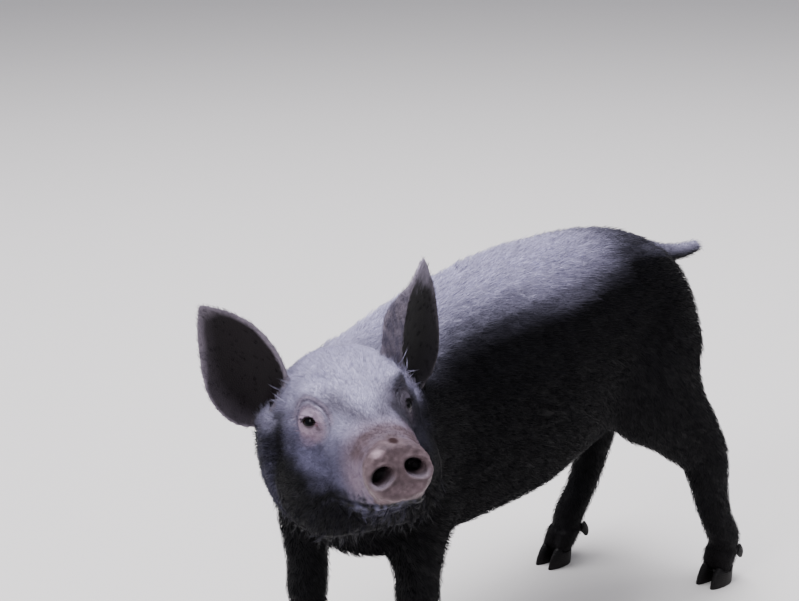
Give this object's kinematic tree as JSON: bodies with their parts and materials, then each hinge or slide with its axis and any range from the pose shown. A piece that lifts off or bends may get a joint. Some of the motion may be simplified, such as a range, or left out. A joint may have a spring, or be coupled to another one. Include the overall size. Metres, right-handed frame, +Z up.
{
  "type": "domestic pig",
  "caption": "Young black domestic pig, life size, standing with its head turned to its left and raised, ears up and tail held out behind.",
  "frame": {"origin": "centre of the bounding box's bottom face, on the ground under the chest", "axes": "+X from the tail to the chest, +Y to the pig's left, towards which its head is turned, +Z up"},
  "size_m": [0.63, 0.3162, 0.4341],
  "materials": {
    "coat": "black hide under short, flat, slightly glossy bristle",
    "snout_skin": "bare, damp, grey-pink mottled skin",
    "ear_skin": "thin dark skin with sparse hair",
    "eye": "wet and dark",
    "claw": "dark horn, dull, with fine growth rings"
  },
  "bodies": {
    "root": {"claw_fore_left_left": "claw", "claw_fore_left_right": "claw", "claw_fore_right_left": "claw", "claw_fore_right_right": "claw", "claw_hind_left_left": "claw", "claw_hind_left_right": "claw", "claw_hind_right_left": "claw", "claw_hind_right_right": "claw", "dewclaw_fore_left_left": "claw", "dewclaw_fore_left_right": "claw", "dewclaw_fore_right_left": "claw", "dewclaw_fore_right_right": "claw", "dewclaw_hind_left_left": "claw", "dewclaw_hind_left_right": "claw", "dewclaw_hind_right_left": "claw", "dewclaw_hind_right_right": "claw", "ear_left": "ear_skin", "ear_right": "ear_skin", "eye_left": "eye", "eye_right": "eye", "forefoot_left": "coat", "forefoot_right": "coat", "foreleg_left": "coat", "foreleg_right": "coat", "head": "coat", "hindfoot_left": "coat", "hindfoot_right": "coat", "lower_jaw": "coat", "neck": "coat", "shank_left": "coat", "shank_right": "coat", "snout": "snout_skin", "tail": "coat", "thigh_left": "coat", "thigh_right": "coat", "torso": "coat"}
  },
  "joints": []
}
